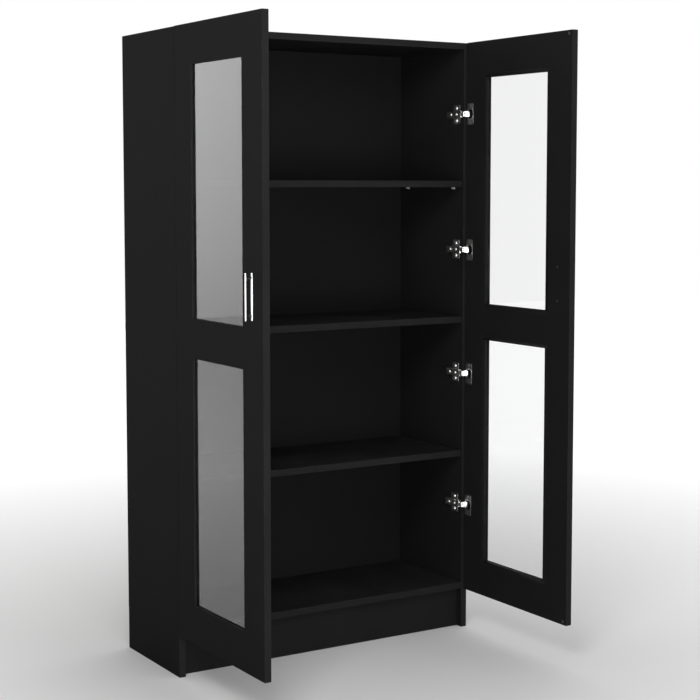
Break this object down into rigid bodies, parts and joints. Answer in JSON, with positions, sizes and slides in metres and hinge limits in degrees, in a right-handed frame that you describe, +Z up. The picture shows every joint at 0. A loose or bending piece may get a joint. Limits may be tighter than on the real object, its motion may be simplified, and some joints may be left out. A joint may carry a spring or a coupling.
{
  "type": "two-door display cabinet",
  "caption": "Upright black display cabinet with shelves, a set-back plinth and framed doors with clear windows, on concealed hinges that open them past a right angle.",
  "frame": {"origin": "on the floor, under the middle of the cabinet's box with both doors open at a right angle", "axes": "+Z up, +Y towards the back, +X towards the right-hand door as seen from in front"},
  "size_m": [0.8622, 0.7086, 1.5],
  "materials": {
    "black_board": "black melamine-faced chipboard, satin with a fine pearl texture",
    "back_hardboard": "black lacquered hardboard, brown on the outside",
    "black_plastic": "matt black plastic",
    "bumper_rubber": "soft dark pads",
    "cast_zinc": "cast zinc, dull",
    "plated_steel": "zinc-plated steel",
    "beech": "plain beech",
    "bright_nickel": "bright nickel-plated pressed steel",
    "chrome_handle": "polished chrome",
    "black_screw": "black-lacquered steel",
    "clear_acrylic": "clear acrylic sheet, polished"
  },
  "bodies": {
    "case": {"left_side_panel": "black_board", "right_side_panel": "black_board", "top_panel": "black_board", "bottom_panel": "black_board", "kickboard": "black_board", "lower_shelf": "black_board", "middle_shelf": "black_board", "upper_shelf": "black_board", "lower_back_panel": "back_hardboard", "upper_back_panel": "back_hardboard", "back_joining_strip": "black_plastic", "cam_caps": "black_plastic", "cam_locks": "cast_zinc", "cam_bolts": "plated_steel", "shelf_pins": "plated_steel", "back_nails": "plated_steel", "left_plate_screws": "plated_steel", "left_arm_screws": "plated_steel", "left_link_pins": "plated_steel", "right_plate_screws": "plated_steel", "right_arm_screws": "plated_steel", "right_link_pins": "plated_steel", "wood_dowels": "beech", "left_hinge_plates": "bright_nickel", "left_hinge_arms": "bright_nickel", "right_hinge_plates": "bright_nickel", "right_hinge_arms": "bright_nickel"},
    "left_door": {"left_door_leaf": "black_board", "left_lower_pane": "clear_acrylic", "left_upper_pane": "clear_acrylic", "left_pane_beads": "black_plastic", "left_hinge_cups": "bright_nickel", "left_cup_screws": "plated_steel", "left_handle": "chrome_handle", "left_handle_base": "chrome_handle", "left_handle_screws": "black_screw", "left_door_bumpers": "bumper_rubber"},
    "right_door": {"right_door_leaf": "black_board", "right_lower_pane": "clear_acrylic", "right_upper_pane": "clear_acrylic", "right_pane_beads": "black_plastic", "right_hinge_cups": "bright_nickel", "right_cup_screws": "plated_steel", "right_handle": "chrome_handle", "right_handle_base": "chrome_handle", "right_handle_screws": "black_screw", "right_door_bumpers": "bumper_rubber"},
    "left_links": {"left_hinge_links": "bright_nickel"},
    "right_links": {"right_hinge_links": "bright_nickel"}
  },
  "joints": [
    {"name": "left_door_swing", "type": "hinge", "parent": "case", "child": "left_door", "pos_m": [-0.40745, 0.05215, 0.801], "axis": [0, 0, 1], "range_deg": [-5, 90]},
    {"name": "left_link_turn", "type": "hinge", "parent": "case", "child": "left_links", "pos_m": [-0.388, 0.0555, 0.801], "axis": [0, 0, 1], "range_deg": [-33.5, 2.5]},
    {"name": "right_door_swing", "type": "hinge", "parent": "case", "child": "right_door", "pos_m": [0.40745, 0.05215, 0.801], "axis": [0, 0, -1], "range_deg": [-5, 90]},
    {"name": "right_link_turn", "type": "hinge", "parent": "case", "child": "right_links", "pos_m": [0.388, 0.0555, 0.801], "axis": [0, 0, -1], "range_deg": [-33.5, 2.5]}
  ],
  "couplings": [
    {"joint": "left_link_turn", "follows": "left_door_swing", "ratio": -0.3667},
    {"joint": "right_link_turn", "follows": "right_door_swing", "ratio": -0.3667}
  ]
}
